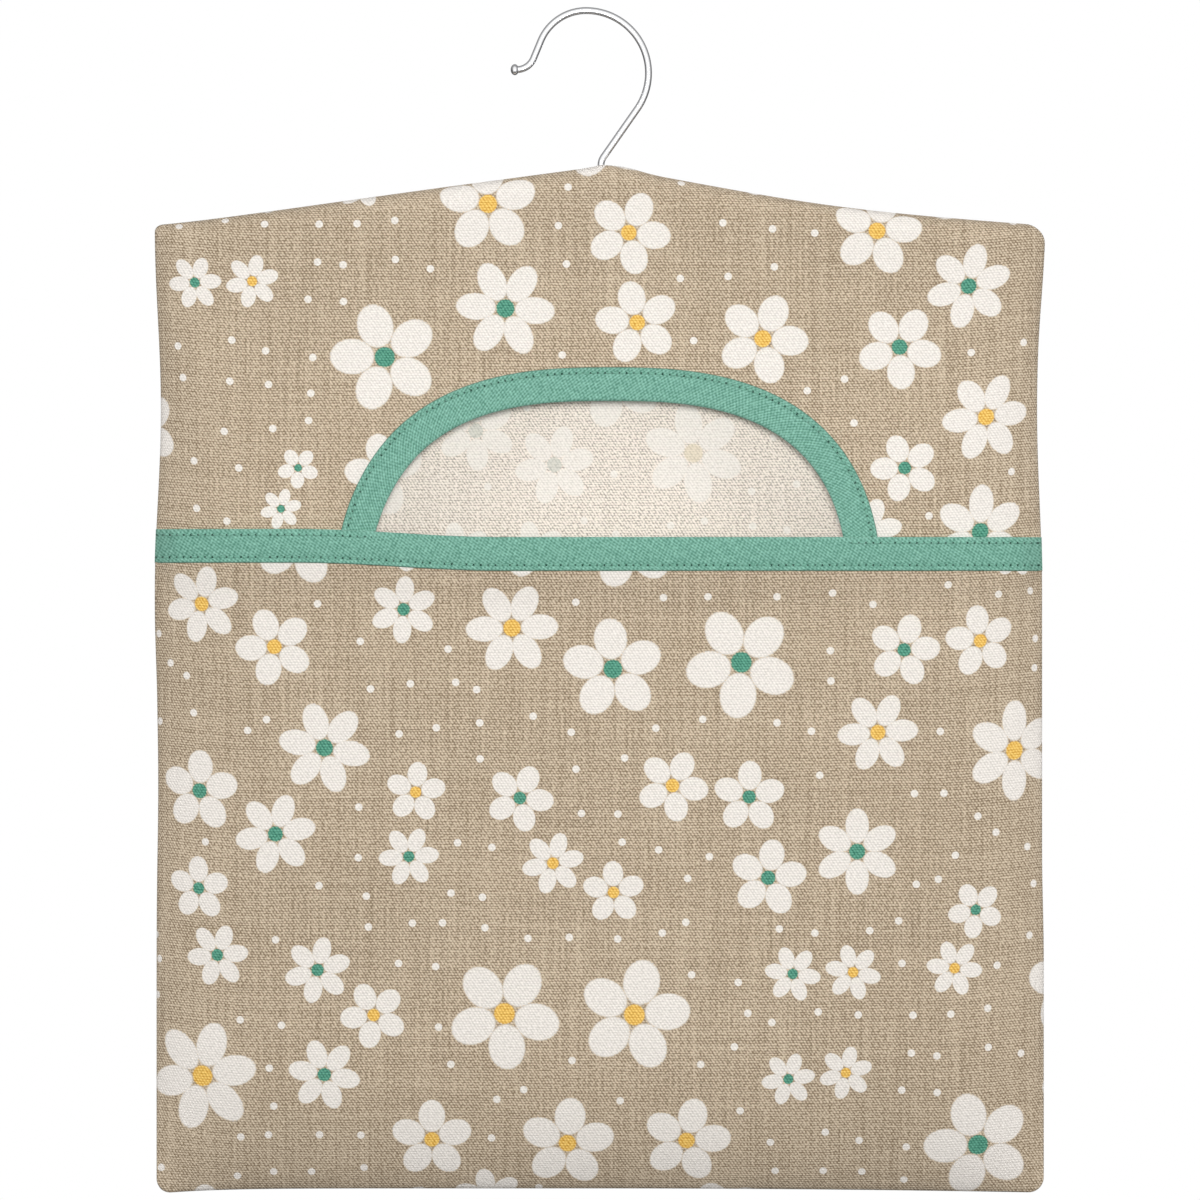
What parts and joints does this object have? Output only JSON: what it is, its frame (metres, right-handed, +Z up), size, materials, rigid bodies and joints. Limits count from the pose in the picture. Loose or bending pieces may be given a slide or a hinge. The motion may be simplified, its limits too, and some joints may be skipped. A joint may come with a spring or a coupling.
{
  "type": "peg bag",
  "caption": "Flat printed cotton peg bag sewn round a small wooden hanger, with a swivelling wire hook, a bound arched mouth in the front and a pocket below for clothes pegs.",
  "frame": {"origin": "underside of the hook's wire straight above the shank, where the bag hangs, on the swivel axis", "axes": "+Z up along the swivel axis, +X to the right seen from the front, the bag's front facing -Y"},
  "size_m": [0.32, 0.0263, 0.4252],
  "materials": {
    "bright_steel": "bright plated wire",
    "beech_wood": "sanded, clear sealed",
    "zinc_plate": "dull zinc plate",
    "printed_cotton": "taupe linen-look cotton printed with white blossoms",
    "green_tape": "sea-green cotton bias tape",
    "green_thread": "sea-green sewing thread",
    "pale_thread": "turned cloth edge bound with pale overlock thread"
  },
  "bodies": {
    "hook": {"hook": "bright_steel"},
    "bag": {"hanger_bar": "beech_wood", "swivel_washer": "zinc_plate", "back_panel": "printed_cotton", "upper_front_panel": "printed_cotton", "lower_front_panel": "printed_cotton", "mouth_binding": "green_tape", "crossbar_binding": "green_tape", "left_side_seam": "pale_thread", "right_side_seam": "pale_thread", "bottom_seam": "pale_thread", "top_left_seam": "pale_thread", "top_right_seam": "pale_thread", "left_lap_overlock": "pale_thread", "right_lap_overlock": "pale_thread", "mouth_stitching": "green_thread", "crossbar_lower_stitching": "green_thread", "crossbar_upper_left_stitching": "green_thread", "crossbar_upper_right_stitching": "green_thread"}
  },
  "joints": [
    {"name": "hook_swivel", "type": "hinge", "parent": "hook", "child": "bag", "pos_m": [0, 0, -0.07], "axis": [0, 0, 1], "continuous": true}
  ]
}
